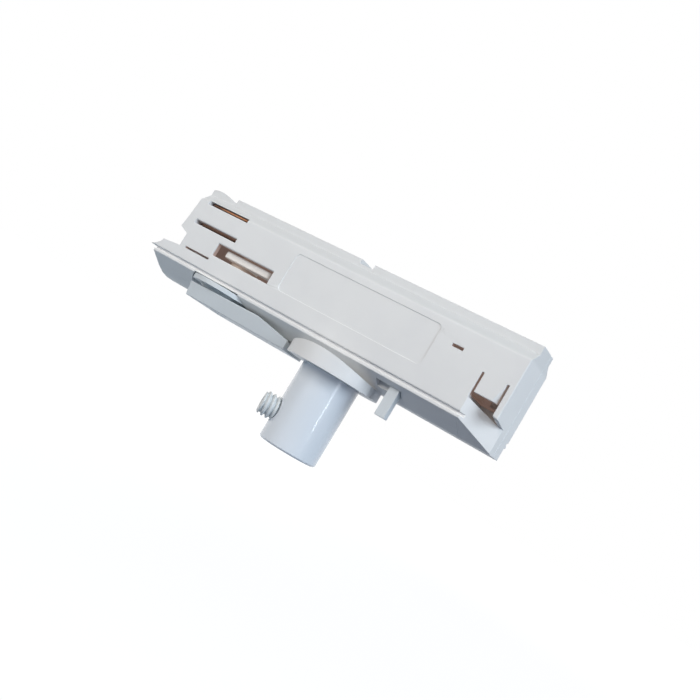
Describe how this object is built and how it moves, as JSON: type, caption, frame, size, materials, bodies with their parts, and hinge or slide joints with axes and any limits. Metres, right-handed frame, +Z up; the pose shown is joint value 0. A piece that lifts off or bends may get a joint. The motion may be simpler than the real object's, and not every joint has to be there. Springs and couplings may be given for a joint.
{
  "type": "track light adapter",
  "caption": "White moulded track light adapter with a turning lever that locks it and pushes out copper contacts, and a cord nipple below for a pendant lamp.",
  "frame": {"origin": "on the cord nipple's axis, at the lower edge of the housing's side faces", "axes": "+X along the track, towards the snap tongue; -Y out of the front with the panel; +Z up into the track"},
  "size_m": [0.1059, 0.0244, 0.048],
  "materials": {
    "housing_white": "satin moulded plastic",
    "lever_white": "satin moulded plastic",
    "nipple_white": "polished moulded plastic",
    "nylon_white": "natural nylon",
    "wing_white": "smooth moulded plastic",
    "inner_ivory": "moulded plastic",
    "contact_copper": "bare copper strip",
    "cage_brass": "machined brass",
    "screw_steel": "zinc plated steel"
  },
  "bodies": {
    "housing": {"housing_front": "housing_white", "housing_back": "housing_white", "base_plate": "housing_white", "cord_nipple": "nipple_white", "nipple_washer": "screw_steel", "nipple_nut": "cage_brass", "terminal_block": "inner_ivory", "terminal_cages": "cage_brass", "terminal_screws": "screw_steel"},
    "rotor": {"lever": "lever_white", "lever_screw": "screw_steel", "rotor_spindle": "inner_ivory", "lock_wing": "wing_white"},
    "contacts_front": {"carrier_front": "inner_ivory", "blade_front_upper": "contact_copper", "blade_front_lower": "contact_copper"},
    "contacts_back": {"carrier_back": "inner_ivory", "blade_back_upper": "contact_copper", "blade_back_lower": "contact_copper"},
    "selector": {"selector_slider": "lever_white", "selector_contact": "contact_copper"},
    "clamp": {"cord_screw": "nylon_white"}
  },
  "joints": [
    {"name": "lever_turn", "type": "hinge", "parent": "housing", "child": "rotor", "pos_m": [-0.0382, 0, 0], "axis": [0, 0, 1], "range_deg": [-90, 0]},
    {"name": "front_contacts_slide", "type": "slide", "parent": "housing", "child": "contacts_front", "axis": [0, -1, 0], "range_m": [0, 0.0022]},
    {"name": "back_contacts_slide", "type": "slide", "parent": "housing", "child": "contacts_back", "axis": [0, 1, 0], "range_m": [0, 0.0022]},
    {"name": "selector_slide", "type": "slide", "parent": "housing", "child": "selector", "axis": [-1, 0, 0], "range_m": [0, 0.0036]},
    {"name": "clamp_feed", "type": "slide", "parent": "housing", "child": "clamp", "axis": [0.7986, 0.6018, 0], "range_m": [0, 0.003]}
  ],
  "couplings": [
    {"joint": "front_contacts_slide", "follows": "lever_turn", "m_per_rad": -0.0014},
    {"joint": "back_contacts_slide", "follows": "lever_turn", "m_per_rad": -0.0014}
  ]
}
